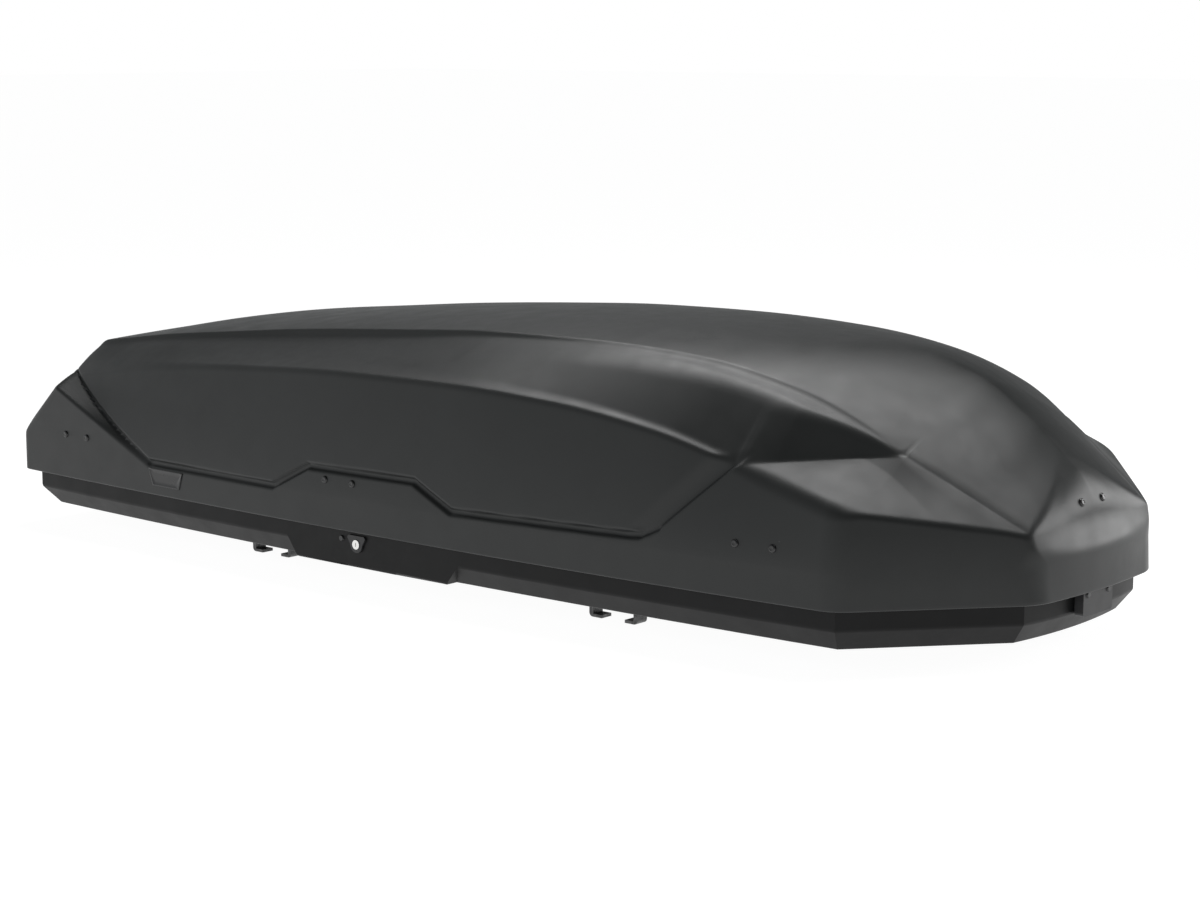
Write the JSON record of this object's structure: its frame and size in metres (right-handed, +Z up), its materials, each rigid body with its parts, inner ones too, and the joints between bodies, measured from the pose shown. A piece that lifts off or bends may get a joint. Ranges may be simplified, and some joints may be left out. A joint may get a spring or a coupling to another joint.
{
  "type": "roof cargo box",
  "caption": "Low matt black roof cargo box whose lid hinges up from either side, with key locks, lid lifters and sliding crossbar clamps.",
  "frame": {"origin": "on the ground plane under the centre of the box, at the underside of the clamp claws", "axes": "+X towards the nose (front of the vehicle), +Y to the left of the vehicle, +Z up"},
  "size_m": [2.1, 0.8606, 0.456],
  "materials": {
    "lid_plastic": "fine grained matt black thermoformed sheet",
    "tub_plastic": "smooth satin black sheet",
    "moulded_plastic": "fine spark-eroded moulded black",
    "knob_plastic": "fine grained dark grey",
    "rivet_black": "semi-gloss black",
    "zinc_steel": "zinc plated, lightly brushed",
    "black_steel": "black powder coat",
    "lock_metal": "satin nickel",
    "rubber": "matt soft rubber",
    "badge": "satin black plate"
  },
  "bodies": {
    "base": {"base_tub": "tub_plastic", "base_rail_left": "zinc_steel", "base_rail_right": "zinc_steel", "floor_braces": "zinc_steel", "latch_saddles_left": "moulded_plastic", "latch_saddles_right": "moulded_plastic", "lock_housing_left": "moulded_plastic", "lock_housing_right": "moulded_plastic", "lock_escutcheon_left": "moulded_plastic", "lock_escutcheon_right": "moulded_plastic", "base_screws": "rivet_black", "nose_guide_socket": "moulded_plastic", "lifter_base_brackets": "zinc_steel", "lifter_springs": "zinc_steel", "lock_bar_guides": "moulded_plastic"},
    "right_pins": {"right_hinge_pins": "zinc_steel"},
    "lid": {"lid_shell": "lid_plastic", "lid_stiffener_front": "zinc_steel", "lid_stiffener_rear": "zinc_steel", "left_hinge_arms": "black_steel", "right_hinge_arms": "black_steel", "left_hinge_pins": "zinc_steel", "lid_rivets": "rivet_black", "nose_guide_tongue": "moulded_plastic", "lifter_lid_brackets": "zinc_steel", "badge_left": "badge", "badge_right": "badge"},
    "lower_arms": {"lifter_lower_arms": "black_steel", "lifter_elbow_pins": "zinc_steel"},
    "upper_arms": {"lifter_upper_arms": "black_steel"},
    "key_left": {"key_barrel_left": "lock_metal", "key_crank_left": "zinc_steel"},
    "lock_bar_left": {"lock_bar_left": "zinc_steel", "lock_sleeves_left": "zinc_steel"},
    "key_right": {"key_barrel_right": "lock_metal", "key_crank_right": "zinc_steel"},
    "lock_bar_right": {"lock_bar_right": "zinc_steel", "lock_sleeves_right": "zinc_steel"},
    "clamp_rear_left": {"clamp_carriage_rear_left": "moulded_plastic", "bar_pad_rear_left": "rubber"},
    "knob_rear_left": {"clamp_knob_rear_left": "knob_plastic"},
    "front_jaw_rear_left": {"clamp_front_jaw_rear_left": "black_steel"},
    "rear_jaw_rear_left": {"clamp_rear_jaw_rear_left": "black_steel"},
    "clamp_rear_right": {"clamp_carriage_rear_right": "moulded_plastic", "bar_pad_rear_right": "rubber"},
    "knob_rear_right": {"clamp_knob_rear_right": "knob_plastic"},
    "front_jaw_rear_right": {"clamp_front_jaw_rear_right": "black_steel"},
    "rear_jaw_rear_right": {"clamp_rear_jaw_rear_right": "black_steel"},
    "clamp_front_left": {"clamp_carriage_front_left": "moulded_plastic", "bar_pad_front_left": "rubber"},
    "knob_front_left": {"clamp_knob_front_left": "knob_plastic"},
    "front_jaw_front_left": {"clamp_front_jaw_front_left": "black_steel"},
    "rear_jaw_front_left": {"clamp_rear_jaw_front_left": "black_steel"},
    "clamp_front_right": {"clamp_carriage_front_right": "moulded_plastic", "bar_pad_front_right": "rubber"},
    "knob_front_right": {"clamp_knob_front_right": "knob_plastic"},
    "front_jaw_front_right": {"clamp_front_jaw_front_right": "black_steel"},
    "rear_jaw_front_right": {"clamp_rear_jaw_front_right": "black_steel"}
  },
  "joints": [
    {"name": "lid_open_right", "type": "hinge", "parent": "base", "child": "right_pins", "pos_m": [0, 0.34, 0.08], "axis": [-1, 0, 0], "range_deg": [0, 55]},
    {"name": "lid_open_left", "type": "hinge", "parent": "right_pins", "child": "lid", "pos_m": [0, -0.34, 0.08], "axis": [-1, 0, 0], "range_deg": [-55, 0]},
    {"name": "lifter_lower_pivot", "type": "hinge", "parent": "base", "child": "lower_arms", "pos_m": [0, 0, 0.05], "axis": [-1, 0, 0], "range_deg": [-55, 0]},
    {"name": "lifter_upper_pivot", "type": "hinge", "parent": "lid", "child": "upper_arms", "pos_m": [0, 0, 0.11], "axis": [-1, 0, 0], "range_deg": [0, 55]},
    {"name": "key_turn_left", "type": "hinge", "parent": "base", "child": "key_left", "pos_m": [-0.13, 0.4, 0.075], "axis": [0, -1, 0], "range_deg": [0, 90]},
    {"name": "lock_bar_slide_left", "type": "slide", "parent": "base", "child": "lock_bar_left", "axis": [1, 0, 0], "range_m": [0, 0.016]},
    {"name": "key_turn_right", "type": "hinge", "parent": "base", "child": "key_right", "pos_m": [-0.13, -0.4, 0.075], "axis": [0, -1, 0], "range_deg": [0, 90]},
    {"name": "lock_bar_slide_right", "type": "slide", "parent": "base", "child": "lock_bar_right", "axis": [1, 0, 0], "range_m": [0, 0.016]},
    {"name": "clamp_slide_rear_left", "type": "slide", "parent": "base", "child": "clamp_rear_left", "axis": [1, 0, 0], "range_m": [-0.08, 0.08]},
    {"name": "knob_turn_rear_left", "type": "hinge", "parent": "clamp_rear_left", "child": "knob_rear_left", "pos_m": [-0.45, 0.298, 0.075], "axis": [0, 0, -1], "range_deg": [0, 1080]},
    {"name": "front_jaw_slide_rear_left", "type": "slide", "parent": "clamp_rear_left", "child": "front_jaw_rear_left", "axis": [-1, 0, 0], "range_m": [0, 0.02]},
    {"name": "rear_jaw_slide_rear_left", "type": "slide", "parent": "clamp_rear_left", "child": "rear_jaw_rear_left", "axis": [1, 0, 0], "range_m": [0, 0.02]},
    {"name": "clamp_slide_rear_right", "type": "slide", "parent": "base", "child": "clamp_rear_right", "axis": [1, 0, 0], "range_m": [-0.08, 0.08]},
    {"name": "knob_turn_rear_right", "type": "hinge", "parent": "clamp_rear_right", "child": "knob_rear_right", "pos_m": [-0.45, -0.298, 0.075], "axis": [0, 0, -1], "range_deg": [0, 1080]},
    {"name": "front_jaw_slide_rear_right", "type": "slide", "parent": "clamp_rear_right", "child": "front_jaw_rear_right", "axis": [-1, 0, 0], "range_m": [0, 0.02]},
    {"name": "rear_jaw_slide_rear_right", "type": "slide", "parent": "clamp_rear_right", "child": "rear_jaw_rear_right", "axis": [1, 0, 0], "range_m": [0, 0.02]},
    {"name": "clamp_slide_front_left", "type": "slide", "parent": "base", "child": "clamp_front_left", "axis": [1, 0, 0], "range_m": [-0.08, 0.08]},
    {"name": "knob_turn_front_left", "type": "hinge", "parent": "clamp_front_left", "child": "knob_front_left", "pos_m": [0.35, 0.298, 0.075], "axis": [0, 0, -1], "range_deg": [0, 1080]},
    {"name": "front_jaw_slide_front_left", "type": "slide", "parent": "clamp_front_left", "child": "front_jaw_front_left", "axis": [-1, 0, 0], "range_m": [0, 0.02]},
    {"name": "rear_jaw_slide_front_left", "type": "slide", "parent": "clamp_front_left", "child": "rear_jaw_front_left", "axis": [1, 0, 0], "range_m": [0, 0.02]},
    {"name": "clamp_slide_front_right", "type": "slide", "parent": "base", "child": "clamp_front_right", "axis": [1, 0, 0], "range_m": [-0.08, 0.08]},
    {"name": "knob_turn_front_right", "type": "hinge", "parent": "clamp_front_right", "child": "knob_front_right", "pos_m": [0.35, -0.298, 0.075], "axis": [0, 0, -1], "range_deg": [0, 1080]},
    {"name": "front_jaw_slide_front_right", "type": "slide", "parent": "clamp_front_right", "child": "front_jaw_front_right", "axis": [-1, 0, 0], "range_m": [0, 0.02]},
    {"name": "rear_jaw_slide_front_right", "type": "slide", "parent": "clamp_front_right", "child": "rear_jaw_front_right", "axis": [1, 0, 0], "range_m": [0, 0.02]}
  ],
  "couplings": [
    {"joint": "lifter_lower_pivot", "follows": "lid_open_left", "ratio": 1},
    {"joint": "lifter_upper_pivot", "follows": "lid_open_left", "ratio": -1},
    {"joint": "key_turn_left", "follows": "lock_bar_slide_left", "rad_per_m": 98.175},
    {"joint": "key_turn_right", "follows": "lock_bar_slide_right", "rad_per_m": 98.175},
    {"joint": "knob_turn_rear_left", "follows": "front_jaw_slide_rear_left", "rad_per_m": 942.48},
    {"joint": "rear_jaw_slide_rear_left", "follows": "front_jaw_slide_rear_left", "ratio": 1},
    {"joint": "knob_turn_rear_right", "follows": "front_jaw_slide_rear_right", "rad_per_m": 942.48},
    {"joint": "rear_jaw_slide_rear_right", "follows": "front_jaw_slide_rear_right", "ratio": 1},
    {"joint": "knob_turn_front_left", "follows": "front_jaw_slide_front_left", "rad_per_m": 942.48},
    {"joint": "rear_jaw_slide_front_left", "follows": "front_jaw_slide_front_left", "ratio": 1},
    {"joint": "knob_turn_front_right", "follows": "front_jaw_slide_front_right", "rad_per_m": 942.48},
    {"joint": "rear_jaw_slide_front_right", "follows": "front_jaw_slide_front_right", "ratio": 1}
  ]
}
